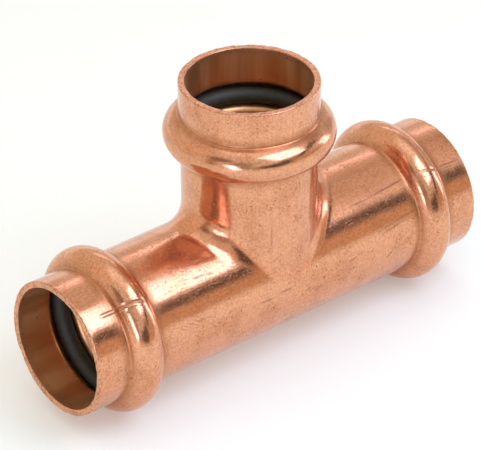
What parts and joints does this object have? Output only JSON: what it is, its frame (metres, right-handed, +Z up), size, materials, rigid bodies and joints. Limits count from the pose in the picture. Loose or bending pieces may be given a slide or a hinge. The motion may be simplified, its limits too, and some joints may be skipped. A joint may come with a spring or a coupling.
{
  "type": "press tee fitting",
  "caption": "Equal copper press tee: a run and a square branch, each mouth a plain collar and a rolled bead that holds a sealing ring.",
  "frame": {"origin": "where the run's axis meets the branch's axis", "axes": "+X along the run's axis, +Z up the branch's axis to its mouth, +Y across both; front is -Y"},
  "size_m": [0.086, 0.0304, 0.0527],
  "materials": {
    "copper": "satin, bright drawn copper",
    "sealing_ring": "smooth moulded EPDM"
  },
  "bodies": {
    "root": {"tee_body": "copper", "run_left_sealing_ring": "sealing_ring", "run_right_sealing_ring": "sealing_ring", "branch_sealing_ring": "sealing_ring"}
  },
  "joints": []
}
